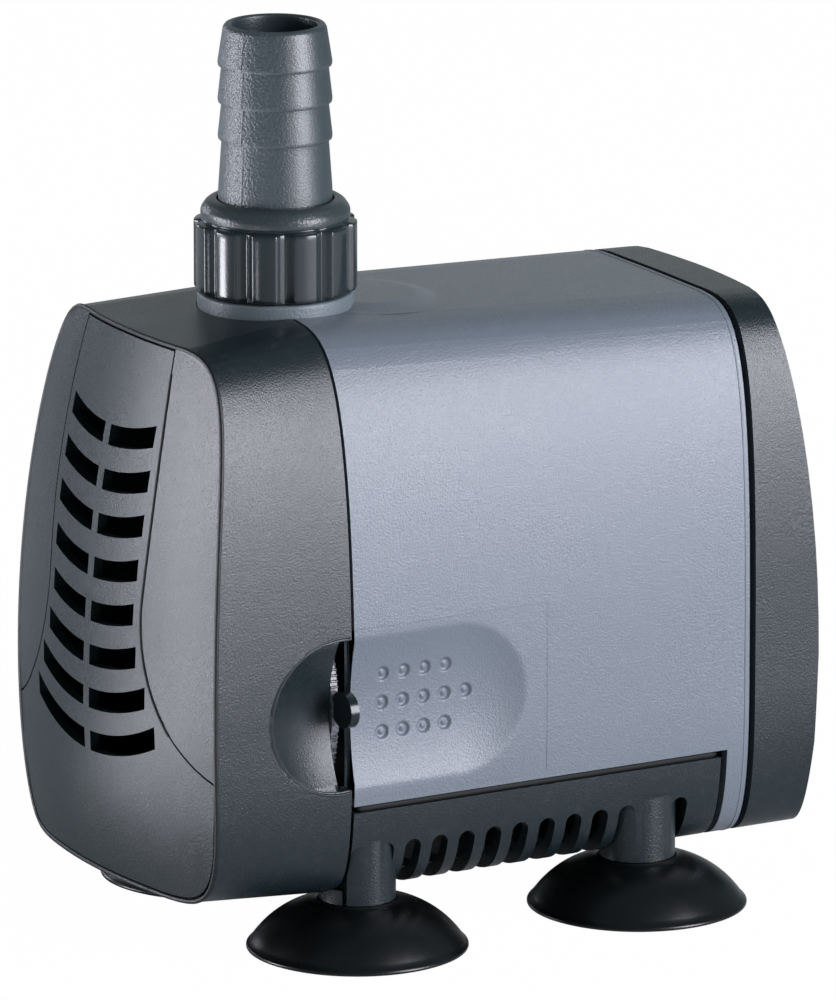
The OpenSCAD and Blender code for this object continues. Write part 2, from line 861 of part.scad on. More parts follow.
module motor_seal() {
    color(rubber) seal_ring(chamber_back_x - seal_t / 2, seal_r, seal_t / 2);
}

module stator_core() {
    color([0.45, 0.46, 0.48]) difference() {
        union() {
            for (side = [-1, 1]) translate([core_x, side > 0 ? leg_in : -leg_out, pole_z])
                cube([stack_l, leg_out - leg_in, core_top_z - pole_z]);
            translate([core_x, -leg_out, core_top_z - yoke_h]) cube([stack_l, 2 * leg_out, yoke_h]);
            for (side = [-1, 1]) translate([core_x, side > 0 ? pole_gap : -leg_out, pole_z])
                cube([stack_l, leg_out - pole_gap, coil_z - 1 - pole_z]);
        }
        rod_x(core_x - 1, core_x + stack_l + 1, well_r + well_t + 0.2);
    }
}

module leg_block(side, out, z0, z1) {
    translate([core_x - out, side > 0 ? leg_in - out : -leg_out - out, z0])
        cube([stack_l + 2 * out, leg_out - leg_in + 2 * out, z1 - z0]);
}

module coil_bobbin(side) {
    color([0.85, 0.85, 0.80]) difference() {
        union() {
            leg_block(side, bobbin_t + 0.2, coil_z, coil_top_z);
            leg_block(side, coil_t + 0.9, coil_z, coil_z + 1.4);
            leg_block(side, coil_t + 0.9, coil_top_z - 1.4, coil_top_z);
        }
        leg_block(side, 0.2, coil_z - 1, coil_top_z + 1);
    }
}

module coil_winding(side) {
    color([0.72, 0.42, 0.20]) difference() {
        leg_block(side, coil_t + 0.4, coil_z + 1.5, coil_top_z - 1.5);
        leg_block(side, bobbin_t + 0.3, coil_z, coil_top_z);
    }
}

module potting_cap() {
    color(rubber) difference() {
        form(motor_rear_x - 3.5, motor_rear_x - 0.5, motor_inset + motor_wall + 0.05);
        translate([-big / 2, -big / 2, motor_floor_z + 2.05 - big]) cube(big);
        translate([motor_rear_x - 5, 0, gland_z]) rotate([0, 90, 0])
            cylinder(r = cord_r + 0.5, h = 10);
    }
}

module chamber_screws() {
    color([0.75, 0.76, 0.78]) {
        screw_row(cover_x - 0.05, motor_x + 7, screw_r - 0.05);
        difference() {
            screw_row(cover_x - 2.2, cover_x - 0.02, 3.2);
            screw_row(cover_x - 3, cover_x - 1.2, 1.3, $fn = 6);
        }
    }
}

module cable_gland() {
    seat_x = rear_x - wall - draw_in(gland_z + gland_r - bow_level) - 0.3;
    color(rubber) difference() {
        translate([seat_x - gland_t, 0, gland_z]) rotate([0, 90, 0]) {
            cylinder(r = gland_r - 2.05, h = rear_x + gland_out - seat_x + gland_t);
            cylinder(r = gland_r, h = gland_t);
        }
        translate([seat_x - gland_t - 1, 0, gland_z]) rotate([0, 90, 0])
            cylinder(r = cord_r, h = 40);
    }
}

front_cover();
front_grille();
mid_casing();
rear_cover();
base_strainer();
suction_cup(foot_front_x, 1);  // suction_cup_front_left
suction_cup(foot_front_x, -1);  // suction_cup_front_right
suction_cup(foot_rear_x, 1);  // suction_cup_rear_left
suction_cup(foot_rear_x, -1);  // suction_cup_rear_right
hose_tail();
union_nut();
outlet_gasket();
pump_chamber();
chamber_cover();
chamber_seal();
flow_regulator();
impeller();
magnet_rotor();
rotor_shaft();
front_bush();
rear_bush();
thrust_washers();
motor_housing();
motor_seal();
stator_core();
coil_bobbin(1);  // coil_bobbin_left
coil_bobbin(-1);  // coil_bobbin_right
coil_winding(1);  // coil_winding_left
coil_winding(-1);  // coil_winding_right
potting_cap();
chamber_screws();
cable_gland();
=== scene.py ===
import math

import bmesh
import bpy
import numpy as np
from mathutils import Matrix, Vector
from mathutils.bvhtree import BVHTree


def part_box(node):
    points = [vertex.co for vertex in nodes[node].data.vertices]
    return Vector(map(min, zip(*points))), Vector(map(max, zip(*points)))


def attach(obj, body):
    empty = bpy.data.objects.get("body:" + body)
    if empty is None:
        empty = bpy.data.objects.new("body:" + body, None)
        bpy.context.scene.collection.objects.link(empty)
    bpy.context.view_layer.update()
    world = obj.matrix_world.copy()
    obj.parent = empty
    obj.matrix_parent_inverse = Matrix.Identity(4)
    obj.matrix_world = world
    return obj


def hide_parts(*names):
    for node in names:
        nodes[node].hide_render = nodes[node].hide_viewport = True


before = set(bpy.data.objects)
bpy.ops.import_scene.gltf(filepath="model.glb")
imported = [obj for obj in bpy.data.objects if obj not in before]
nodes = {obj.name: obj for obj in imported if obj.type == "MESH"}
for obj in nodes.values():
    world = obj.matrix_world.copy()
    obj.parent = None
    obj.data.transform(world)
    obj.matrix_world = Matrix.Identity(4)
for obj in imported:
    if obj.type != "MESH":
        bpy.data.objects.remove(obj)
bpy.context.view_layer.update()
mm = 0.001


# a socket that can stand in a sum: each operator adds one Math node
class Wire:
    def __init__(self, graph, socket):
        self.graph, self.socket = graph, socket

    def math(self, operation, *values):
        return self.graph.add("ShaderNodeMath", {"operation": operation}, *values)

    def __add__(self, other):
        return self.math("ADD", self, other)

    __radd__ = __add__

    def __sub__(self, other):
        return self.math("SUBTRACT", self, other)

    def __rsub__(self, other):
        return self.math("SUBTRACT", other, self)

    def __mul__(self, other):
        return self.math("MULTIPLY", self, other)

    __rmul__ = __mul__

    def clip(self):
        return self.math("MAXIMUM", self.math("MINIMUM", self, 1.0), 0.0)


# the node tree of a material or of the world, emptied first
class Graph:
    def __init__(self, owner):
        owner.use_nodes = True
        self.owner, self.tree = owner, owner.node_tree
        self.tree.nodes.clear()

    # a node of the given type: its settings first, then its sockets by position or by name
    def add(self, kind, settings=None, *values, out=0, **named):
        node = self.tree.nodes.new(kind)
        for key, value in (settings or {}).items():
            setattr(node, key, value)
        pairs = list(enumerate(values)) + [(k.replace("_", " "), v) for k, v in named.items()]
        for key, value in pairs:
            if value is None:
                continue
            socket = node.inputs[key]
            if isinstance(value, Wire):
                self.tree.links.new(value.socket, socket)
            elif socket.type == "RGBA":
                socket.default_value = (*value, 1)
            else:
                socket.default_value = value
        return Wire(self, node.outputs[out]) if node.outputs else None

    def place(self):
        return self.add("ShaderNodeTexCoord", out="Object")

    # one coordinate of a place: 0, 1 and 2 for x, y and z
    def part(self, place, axis):
        return self.add("ShaderNodeSeparateXYZ", None, place, out=axis)

    # noise whose blobs are about size millimetres wide
    def noise(self, place, size, detail=2.0, rough=0.5):
        return self.add("ShaderNodeTexNoise", {"noise_dimensions": "3D"}, Vector=place,
                        Scale=1000.0 / size, Detail=detail, Roughness=rough)

    # 0 below start and 1 from start + width on, for a length given in metres
    def rise(self, length, start, width):
        return ((length - start * mm) * (1000 / width)).clip()

    # two colours mixed; the five unused sockets between are Mix's other kinds of value
    def blend(self, factor, first, second):
        return self.add("ShaderNodeMix", {"data_type": "RGBA"}, factor, *[None] * 5, first, second, out=2)

    # depth is the height of the relief in millimetres
    def finish(self, colour, roughness, height, depth, **fixed):
        normal = self.add("ShaderNodeBump", None, Height=height, Strength=1.0, Distance=depth * mm)
        shader = self.add("ShaderNodeBsdfPrincipled", None, Base_Color=colour, Roughness=roughness,
                          Normal=normal, **fixed)
        self.add("ShaderNodeOutputMaterial", None, Surface=shader)
        return self.owner


def newMaterial(name):
    return Graph(bpy.data.materials.new(name))


# a colour made lighter or darker
def lifted(colour, factor):
    return tuple(c * factor for c in colour)


# satin injection moulding from a spark-eroded mould: fine even pits, faint uneven gloss
def mouldedPlastic(name, look):
    g = newMaterial(name)
    where = g.place()
    pits = g.noise(where, look["grain"], 3.0, 0.6)
    cloud = g.noise(where, 38.0, 2.0)
    dust = g.noise(where, 2.6, 4.0, 0.65)
    shade = g.blend(cloud * 0.55, look["colour"], lifted(look["colour"], look["lift"]))
    shade = g.blend((dust * 2.6 - 1.35).clip() * look["dust"], shade, look["dustColour"])
    rough = look["rough"] + (cloud - 0.5) * 0.10 + (pits - 0.5) * 0.12
    return g.finish(shade, rough, pits, look["relief"])


plastics = {
    "frontDark": dict(colour=(0.0085, 0.0155, 0.0180), lift=1.25, rough=0.29, grain=0.46, relief=0.105,
                      dust=0.10, dustColour=(0.16, 0.18, 0.19)),
    "casingGrey": dict(colour=(0.136, 0.161, 0.188), lift=1.10, rough=0.29, grain=0.48, relief=0.125,
                       dust=0.08, dustColour=(0.36, 0.38, 0.42)),
    # painted shade: the collar's grey is the casing's plastic made darker, for the nut's shadow over it
    "collarGreyPaintedShade": dict(colour=(0.115, 0.145, 0.160), lift=1.10, rough=0.42, grain=0.8, relief=0.16,
                       dust=0.08, dustColour=(0.36, 0.38, 0.42)),
    # painted shade: near-black cords on the cover's end edge and round the finger slot
    "paintedCreaseShade": dict(colour=(0.003, 0.005, 0.006), lift=1.25, rough=0.42, grain=0.46, relief=0.105,
                        dust=0.10, dustColour=(0.16, 0.18, 0.19)),
    # painted shade: black cords in the grille's joint and in the casing's lower gap
    "paintedGapShade": dict(colour=(0.001, 0.0015, 0.0016), lift=1.25, rough=0.75, grain=0.46, relief=0.02,
                     dust=0.0, dustColour=(0.16, 0.18, 0.19)),
    "innerBlack": dict(colour=(0.030, 0.034, 0.037), lift=1.3, rough=0.42, grain=0.6, relief=0.03,
                       dust=0.10, dustColour=(0.10, 0.11, 0.12)),
    "impellerWhite": dict(colour=(0.62, 0.63, 0.60), lift=1.05, rough=0.34, grain=0.7, relief=0.02,
                          dust=0.10, dustColour=(0.48, 0.47, 0.42)),
    "bobbinIvory": dict(colour=(0.66, 0.64, 0.52), lift=1.06, rough=0.40, grain=0.7, relief=0.03,
                        dust=0.12, dustColour=(0.50, 0.46, 0.36)),
    "ceramicWhite": dict(colour=(0.80, 0.79, 0.74), lift=1.03, rough=0.16, grain=0.3, relief=0.004,
                         dust=0.05, dustColour=(0.62, 0.60, 0.54)),
}
made = {name: mouldedPlastic(name, look) for name, look in plastics.items()}

tailPlastic = dict(colour=(0.024, 0.037, 0.043), lift=1.25, rough=0.36, grain=0.45, relief=0.085,
                   coarseGlintTurn=190.0, coarseGlintFrom=45.15, coarseGlintFade=5.0, blob=0.65, coarseDepth=2.8,
                   paintedCoarseGlint=(0.14, 0.17, 0.19), shine=0.8)


# hose tail: one side of its mould was left coarse, so the coarse pits fade across the part's width, and pale
# blobs on that side are painted glints where the rim lamp grazes it
def coarseTail(name, look):
    g = newMaterial(name)
    where = g.place()
    turn = math.radians(look["coarseGlintTurn"])
    across = g.part(where, 0) * math.cos(turn) + g.part(where, 1) * math.sin(turn)
    coarse = g.rise(across, look["coarseGlintFrom"], look["coarseGlintFade"])
    pits = g.noise(where, look["grain"], 3.0, 0.6)
    blobs = g.noise(where, look["blob"], 2.0, 0.5)
    cloud = g.noise(where, 30.0, 2.0)
    shade = g.blend(cloud * 0.5, look["colour"], lifted(look["colour"], look["lift"]))
    # painted glints: pale blobs on the coarse side
    shade = g.blend(coarse * blobs * 0.4, shade, look["paintedCoarseGlint"])
    return g.finish(shade, look["rough"] + (cloud - 0.5) * 0.1, pits + coarse * blobs * look["coarseDepth"],
                    look["relief"], Specular_IOR_Level=look["shine"])


nutPlastic = dict(colour=(0.012, 0.020, 0.022), lift=1.4, rough=0.14, grain=0.8, relief=0.055,
                  ringFrom=169.4, ringFade=0.6, blob=0.7, ringDepth=2.4, ringRough=0.17,
                  paintedRingGlint=(0.08, 0.10, 0.10), shine=0.6)


# union nut: glossy grip, and a coarse matter ring above it with painted glints in pale blobs
def glossyNut(name, look):
    g = newMaterial(name)
    where = g.place()
    ring = g.rise(g.part(where, 2), look["ringFrom"], look["ringFade"])
    fine = g.noise(where, look["grain"], 3.0, 0.6)
    blobs = g.noise(where, look["blob"], 2.0, 0.6)
    cloud = g.noise(where, 12.0, 2.0)
    shade = g.blend(cloud * 0.6, look["colour"], lifted(look["colour"], look["lift"]))
    # painted glints: pale blobs on the ring
    shade = g.blend(ring * blobs * 0.5, shade, look["paintedRingGlint"])
    rough = look["rough"] + ring * look["ringRough"] + (cloud - 0.5) * 0.06
    return g.finish(shade, rough, fine * 0.3 + ring * blobs * look["ringDepth"], look["relief"],
                    Specular_IOR_Level=look["shine"])


platePlastic = dict(colour=(0.006, 0.011, 0.012), lift=1.5, rough=0.24, speck=1.1, relief=0.05, shaftZ=60.0,
                    glintFrom=41.0, glintTo=43.9, glintFade=0.5, paintedRimGlint=(0.20, 0.20, 0.23))


# toothed plate of the regulator: pale specks round its rim, where the teeth run in the slot, are painted
# glints
def rimGlintPlate(name, look):
    g = newMaterial(name)
    where = g.place()
    along, height = g.part(where, 1), g.part(where, 2) - look["shaftZ"] * mm
    away = g.add("ShaderNodeMath", {"operation": "SQRT"}, along * along + height * height)
    fade = look["glintFade"]
    rim = g.rise(away, look["glintFrom"], fade) * (1 - g.rise(away, look["glintTo"], fade))
    specks = g.noise(where, look["speck"], 3.0, 0.6)
    shade = g.blend(specks * 0.4, look["colour"], lifted(look["colour"], look["lift"]))
    # painted glints: pale specks on the rim
    shade = g.blend(rim * (specks * 2.6 - 0.8).clip(), shade, look["paintedRimGlint"])
    return g.finish(shade, look["rough"] + (specks - 0.5) * 0.15, specks, look["relief"])


made["tailGrey"] = coarseTail("tailGrey", tailPlastic)
made["nutBlack"] = glossyNut("nutBlack", nutPlastic)
made["plateBlack"] = rimGlintPlate("plateBlack", platePlastic)

rubbers = {
    "cupRubber": dict(colour=(0.0012, 0.0018, 0.0020), rough=0.30),
    "sealRubber": dict(colour=(0.014, 0.014, 0.015), rough=0.48),
}


# soft black rubber: nearly smooth, with flow marks and a light bloom
def softRubber(name, look):
    g = newMaterial(name)
    where = g.place()
    fine = g.noise(where, 0.5, 3.0, 0.6)
    bloom = g.noise(where, 9.0, 4.0, 0.6)
    shade = g.blend((bloom * 2.2 - 0.9).clip() * 0.35, look["colour"], lifted(look["colour"], 2.6))
    return g.finish(shade, look["rough"] + (bloom - 0.5) * 0.18, fine, 0.02)


for name, look in rubbers.items():
    made[name] = softRubber(name, look)


# cut metal and wound wire: fine bands along one axis over a plain body
def banded(name, look):
    g = newMaterial(name)
    where = g.place()
    bands = g.add("ShaderNodeTexWave", {"wave_type": "BANDS", "bands_direction": look["axis"],
                                        "wave_profile": look["profile"]},
                  Vector=where, Scale=look["perMetre"], Distortion=0.0)
    cloud = g.noise(where, 6.0, 3.0)
    shade = g.blend(cloud, look["colour"], lifted(look["colour"], 0.8))
    shade = g.blend(bands * look["contrast"], shade, look["lineColour"])
    return g.finish(shade, look["rough"] + (cloud - 0.5) * 0.15, bands, look["relief"],
                    Metallic=look["metal"])


bandedLooks = {
    "lamination": dict(axis="X", profile="SAW", perMetre=320.0, colour=(0.34, 0.35, 0.37), contrast=0.5,
                       lineColour=(0.10, 0.10, 0.11), rough=0.40, relief=0.04, metal=1.0),
    "windingCopper": dict(axis="Z", profile="SIN", perMetre=520.0, colour=(0.52, 0.22, 0.08),
                          contrast=0.6, lineColour=(0.16, 0.05, 0.02), rough=0.26, relief=0.12, metal=0.0),
    "screwSteel": dict(axis="Z", profile="SIN", perMetre=900.0, colour=(0.56, 0.57, 0.58), contrast=0.3,
                       lineColour=(0.36, 0.37, 0.38), rough=0.30, relief=0.01, metal=1.0),
    "ferrite": dict(axis="Y", profile="SIN", perMetre=40.0, colour=(0.060, 0.060, 0.062), contrast=0.2,
                    lineColour=(0.03, 0.03, 0.03), rough=0.46, relief=0.01, metal=0.2),
}
for name, look in bandedLooks.items():
    made[name] = banded(name, look)

finishOf = {
    "frontDark": ["front_cover", "front_grille", "rear_cover", "base_strainer"],
    "casingGrey": ["mid_casing"],
    "tailGrey": ["hose_tail"],
    "nutBlack": ["union_nut"],
    "innerBlack": ["pump_chamber", "chamber_cover", "motor_housing", "potting_cap"],
    "plateBlack": ["flow_regulator"],
    "impellerWhite": ["impeller"],
    "bobbinIvory": ["coil_bobbin_left", "coil_bobbin_right"],
    "ceramicWhite": ["rotor_shaft", "thrust_washers"],
    "cupRubber": ["suction_cup_front_left", "suction_cup_front_right", "suction_cup_rear_left",
                  "suction_cup_rear_right"],
    "sealRubber": ["outlet_gasket", "chamber_seal", "motor_seal", "front_bush", "rear_bush", "cable_gland"],
    "lamination": ["stator_core"],
    "windingCopper": ["coil_winding_left", "coil_winding_right"],
    "screwSteel": ["chamber_screws"],
    "ferrite": ["magnet_rotor"],
}
for finish, names in finishOf.items():
    for name in names:
        nodes[name].data.materials.clear()
        nodes[name].data.materials.append(made[finish])
print("finishes on", sum(len(n) for n in finishOf.values()), "nodes")


# quads over rows x columns of points; the grid can close on itself both ways
def gridFaces(rows, columns, closeRows, closeColumns):
    i, j = np.meshgrid(np.arange(rows if closeRows else rows - 1),
                       np.arange(columns if closeColumns else columns - 1), indexing="ij")
    a, b = i * columns + j, i * columns + (j + 1) % columns
    c, d = ((i + 1) % rows) * columns + (j + 1) % columns, ((i + 1) % rows) * columns + j
    return np.stack([a, b, c, d], -1).reshape(-1, 4)


# a piece from points in millimetres; edges sharper than crease degrees stay sharp
def makePiece(name, points, faces, finish, body, replaced, crease):
    mesh = bpy.data.meshes.new(name)
    mesh.from_pydata((points.reshape(-1, 3) * mm).tolist(), [], faces.tolist())
    shell = bmesh.new()
    shell.from_mesh(mesh)
    bmesh.ops.remove_doubles(shell, verts=shell.verts, dist=1e-7)
    bmesh.ops.recalc_face_normals(shell, faces=shell.faces)
    shell.to_mesh(mesh)
    shell.free()
    dress(name, mesh, finish, body, replaced, crease)


# finish and body of a piece; the solids it takes the place of are hidden
def dress(name, mesh, finish, body, replaced, crease):
    mesh.materials.clear()
    mesh.materials.append(made[finish])
    mesh.shade_smooth()
    mesh.set_sharp_from_angle(angle=math.radians(crease))
    piece = bpy.data.objects.new(name, mesh)
    bpy.context.scene.collection.objects.link(piece)
    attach(piece, body)
    if replaced:
        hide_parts(*replaced)
    return piece


# a closed outline of (radius, height, rounding) corners with each corner turned into a short arc
def roundedOutline(corners, steps=4):
    pts = np.array([c[:2] for c in corners], float)
    radii = np.array([c[2] for c in corners], float)
    back = np.roll(pts, 1, 0) - pts
    ahead = np.roll(pts, -1, 0) - pts
    backL, aheadL = np.linalg.norm(back, axis=1), np.linalg.norm(ahead, axis=1)
    back, ahead = back / backL[:, None], ahead / aheadL[:, None]
    reach = np.minimum(radii, 0.45 * np.minimum(backL, aheadL))
    out = []
    for k in range(len(pts)):
        if reach[k] < 1e-6:
            out.append(pts[k][None])
            continue
        t = np.linspace(0, 1, steps + 1)[:, None]
        start, end = pts[k] + back[k] * reach[k], pts[k] + ahead[k] * reach[k]
        out.append((1 - t) ** 2 * start + 2 * t * (1 - t) * pts[k] + t ** 2 * end)
    return np.concatenate(out)


# long straight stretches of an outline are cut into pieces no longer than span
def dividedOutline(outline, span):
    parts = []
    for a, b in zip(outline, np.roll(outline, -1, 0)):
        n = max(1, int(np.ceil(np.linalg.norm(b - a) / span)))
        parts.append(a + (b - a) * (np.arange(n) / n)[:, None])
    return np.concatenate(parts)


# smooth step: 0 up to start, 1 from end on, and 3 t^2 - 2 t^3 between
def smooth(value, start, end):
    t = np.clip((value - start) / (end - start), 0, 1)
    return t * t * (3 - 2 * t)


# points at a radius and a height, turned through angle about the upright line at cx, cy
def turned(cx, cy, radius, z, angle):
    return np.stack([cx + radius * np.cos(angle), cy + radius * np.sin(angle), z + 0 * angle], -1)


# angles once round, as one row
def fullTurn(count):
    return np.linspace(0, 2 * np.pi, count, endpoint=False)[None, :]


# middle of a CAD node's box, across and along, in millimetres
def middleOf(node):
    lo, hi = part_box(node)
    return (lo.x + hi.x) / 2 / mm, (lo.y + hi.y) / 2 / mm


nutLook = dict(lobes=12, turn=23.6, crest=19.3, valley=18.1, bottom=152.2, top=174.3, bore=16.7,
               lipBore=13.8, lipUnder=171.3, lobeFlat=0.50, lobeFoot=0.86, lobeCrown=0.22, groove=0.35,
               around=720)


def unionNut():
    # radius = valley + (crest - valley) * lobe(angle) * fade(height): the lobe is a flat-topped
    # swell with round shoulders, and it fades out at the top under the smooth ring
    n = nutLook
    cx = middleOf("union_nut")[0]
    z0, z1, side = n["bottom"], n["top"], n["valley"]
    corners = [
        (n["bore"], z0, 0.3), (side - 0.3, z0, 0.5), (side, z0 + 1.0, 0.4), (side, z1 - 5.4, 0.4),
        (side - 0.9, z1 - 5.0, 0.3), (side - 0.5, z1 - 4.3, 0.5), (side - 0.4, z1 - 2.6, 1.2),
        (side - 1.7, z1 - 0.7, 1.4), (side - 3.0, z1, 0.9), (n["lipBore"], z1, 0.4),
        (n["lipBore"], n["lipUnder"], 0.2), (n["bore"], n["lipUnder"], 0.0)]
    outline = dividedOutline(roundedOutline(corners), 1.1)
    r, z = outline[:, 0][:, None], outline[:, 1][:, None]
    angle = fullTurn(n["around"])
    half = np.pi / n["lobes"]
    off = np.abs((angle - math.radians(n["turn"]) + half) % (2 * half) - half) / half
    swell = (1 - smooth(off, n["lobeFlat"], n["lobeFoot"])) * (1 - n["lobeCrown"] * off ** 2)
    fade = smooth(z - z0, -0.2, 0.7) * (1 - smooth(z - z1, -5.6, -4.6)) * (r > n["bore"] + 0.4)
    radius = r + (n["crest"] - side) * swell * fade
    radius = radius - n["groove"] * (1 - swell) * fade * smooth(off, 0.80, 1.0)
    points = turned(cx, 0.0, radius, z, angle)
    makePiece("nut_dressed", points, gridFaces(len(outline), n["around"], True, True), "nutBlack", "nut",
              ["union_nut"], 50)


unionNut()
print("union nut made")

tailLook = dict(top=216.0, bore=10.1, rim=12.2, ridge=13.5, step=12.6, firstEdge=206.2, pitch=8.8,
                flange=16.1, flangeLow=168.5, flangeHigh=171.1, around=480, seam=-154.8, seamHigh=0.10,
                seamWide=0.8)


def hoseTail():
    # profile turned about the outlet line; where the mould halves met, the radius grows by
    # seamHigh * exp(-(degrees away / seamWide)^2)
    cx = middleOf("hose_tail")[0]
    t = tailLook
    corners = [(t["bore"], t["flangeLow"], 0.2), (t["bore"], t["top"] - 0.5, 0.3),
               (t["bore"] + 0.5, t["top"], 0.3), (t["bore"] + 1.0, t["top"] - 0.25, 0.2),
               (t["rim"] - 0.6, t["top"] - 0.1, 0.3), (t["rim"], t["top"] - 0.8, 0.5)]
    for k in range(3):
        edge = t["firstEdge"] - k * t["pitch"]
        corners += [(t["ridge"], edge + 0.7, 0.35), (t["ridge"] - 0.1, edge, 0.10),
                    (t["step"], edge - 0.1, 0.06)]
    corners += [(t["ridge"] - 0.05, 176.5, 1.0), (t["ridge"], 173.8, 0.3), (t["ridge"], t["flangeHigh"], 0.2),
                (t["flange"], t["flangeHigh"], 0.2), (t["flange"], t["flangeLow"], 0.2)]
    outline = dividedOutline(roundedOutline(corners), 1.6)
    r, z = outline[:, 0][:, None], outline[:, 1][:, None]
    angle = fullTurn(t["around"])
    away = np.degrees(np.abs((angle - math.radians(t["seam"]) + np.pi) % (2 * np.pi) - np.pi))
    outside = (r > t["bore"] + 1.4) * (z > t["flangeHigh"] + 0.5)
    radius = r + t["seamHigh"] * np.exp(-(away / t["seamWide"]) ** 2) * outside
    points = turned(cx, 0.0, radius, z, angle)
    makePiece("tail_dressed", points, gridFaces(len(outline), t["around"], True, True), "tailGrey",
              "outlet_tail", ["hose_tail"], 40)


hoseTail()
print("hose tail made")

cupLook = dict(radius=26.3, neck=9.9, neckTop=12.4, stem=3.95, stemTop=21.0, rimHigh=1.5, bulge=2.0,
               around=160)


def suctionCup(node):
    # domed skirt: a line from neck to rim, bent outwards by bulge * 4 t (1 - t), with a thin rim that
    # flares a little and a hollow under it, all turned about the cup's middle
    cx, cy = middleOf(node)
    c = cupLook
    t = np.linspace(0, 1, 15)
    dr, dz = c["radius"] - 0.6 - c["neck"], c["neckTop"] - 0.5 - c["rimHigh"]
    bulge = c["bulge"] * 4 * t * (1 - t)
    length = math.hypot(dr, dz)
    skirt = [(c["neck"] + dr * k + b * dz / length, c["neckTop"] - 0.5 - dz * k + b * dr / length, 0.0)
             for k, b in zip(t, bulge)]
    corners = [(0.0, c["stemTop"], 0.0), (c["stem"] - 0.6, c["stemTop"], 0.2),
               (c["stem"], c["stemTop"] - 1, 0.3), (c["stem"], c["neckTop"], 0.1),
               (c["neck"] - 0.4, c["neckTop"], 0.3)]
    corners += skirt
    corners += [(c["radius"] - 0.25, 1.35, 0.15), (c["radius"], 1.0, 0.25), (c["radius"], 0.5, 0.25),
                (c["radius"] - 1.2, 0.0, 0.4), (c["radius"] - 3.0, 0.15, 0.6), (c["radius"] - 8.0, 3.4, 2.0),
                (c["neck"], 6.2, 2.0), (0.0, 7.4, 0.0)]
    outline = roundedOutline(corners)
    outline = outline[np.argmax(outline[:, 1] >= c["stemTop"] - 1e-6):]
    r, z = outline[:, 0][:, None], outline[:, 1][:, None]
    points = turned(cx, cy, r, z, fullTurn(c["around"]))
    makePiece(node + "_dressed", points, gridFaces(len(outline), c["around"], False, True), "cupRubber",
              "pump_body", [node], 50)


for node in ("front_left", "front_right", "rear_left", "rear_right"):
    suctionCup("suction_cup_" + node)
print("suction cups made")


# the outer face of a solid as a target for rays, in millimetres
def targetOf(node):
    item = nodes[node]
    points = [(item.matrix_world @ v.co) / mm for v in item.data.vertices]
    return BVHTree.FromPolygons(points, [tuple(p.vertices) for p in item.data.polygons])


targets = {node: targetOf(node) for node in ("front_cover", "front_grille", "mid_casing")}
# where rays start: in a ring of count around the line at height middle, off a side, or above
rays = dict(middle=80.0, around=160.0, side=90.0, above=300.0, count=420)


# where a ray first meets a solid, and the face's outward way there
def strike(node, start, way):
    place, out, index, far = targets[node].ray_cast(Vector(start), Vector(way).normalized())
    return (None, None) if place is None else (np.array(place), np.array(out))


# points round a shell at one station along it, found from outside towards its middle line
def girdle(node, x):
    found = []
    for angle in np.linspace(0, 2 * np.pi, rays["count"], endpoint=False):
        way = np.array([0.0, math.cos(angle), math.sin(angle)])
        place, out = strike(node, np.array([x, 0, rays["middle"]]) + way * rays["around"], -way)
        if place is not None:
            found.append((place, out if out @ way > 0 else -out))
    return np.array([f[0] for f in found]), np.array([f[1] for f in found])


cordSides = 10


# round cord along a path, with its centre under the surface by sink; an open cord ends in points
def bead(name, path, out, look, body, slot, closed=True):
    centre = path - out * look["sink"]
    ahead = np.roll(centre, -1, 0) - np.roll(centre, 1, 0) if closed else np.gradient(centre, axis=0)
    side = np.cross(ahead, out)
    side = side / np.linalg.norm(side, axis=1)[:, None]
    turn = np.linspace(0, 2 * np.pi, cordSides, endpoint=False)[None, :, None]
    girth = np.full((len(path), 1, 1), look["thick"])
    if not closed:
        girth[[0, -1]] = 0
    points = centre[:, None] + girth * (np.cos(turn) * out[:, None] + np.sin(turn) * side[:, None])
    faces = gridFaces(len(path), cordSides, closed, True)
    makePiece(name, points, faces, look["finish"], body, [], 60)


endLook = dict(front=-92.25, round=160.0, level=58.0, upRound=350.0, lowRound=300.0, begin=28.0,
               behind=0.8, span=7, stray=0.45, thick=0.62, sink=0.42, finish="paintedCreaseShade")


# radius of the bowed end at a height: it bends more gently above level than under it
def bowAt(z):
    e = endLook
    bend = e["upRound"] if z > e["level"] else e["lowRound"]
    return e["round"] - bend + math.sqrt(bend ** 2 - (z - e["level"]) ** 2)


def endCrease():
    # painted shade on the rounded edge between the bowed end and the sides: a near-black cord at x = front +
    # round - sqrt(bow(z)^2 - y^2)
    e = endLook
    path, outs = [], []
    for angle in np.linspace(0, 2 * np.pi, rays["count"], endpoint=False):
        way = np.array([0.0, math.cos(angle), math.sin(angle)])
        x = e["front"] + e["begin"]
        for step in range(4):
            start = np.array([x + e["behind"], 0, rays["middle"]]) + way * rays["around"]
            found, outward = strike("front_cover", start, -way)
            if found is None:
                break
            place, out = found, outward
            r = bowAt(place[2])
            x = e["front"] + e["round"] - math.sqrt(r ** 2 - place[1] ** 2)
        place[0] = x
        slope = np.array([-math.sqrt(r ** 2 - place[1] ** 2) / r, place[1] / r, 0.0])
        lean = out + slope
        path.append(place)
        outs.append(lean / np.linalg.norm(lean))
    # a lone ray that falls into the panel line is brought back to its neighbours
    path, outs = np.array(path), np.array(outs)
    steps = range(-e["span"], e["span"] + 1)
    near = np.median(np.stack([np.roll(path, n, 0) for n in steps]), 0)
    outs = np.median(np.stack([np.roll(outs, n, 0) for n in steps]), 0)
    stray = np.linalg.norm(path - near, axis=1) > e["stray"]
    path[stray] = near[stray]
    outs = outs / np.linalg.norm(outs, axis=1)[:, None]
    bead("end_crease", path, outs, e, "front_part", "housing_dark")


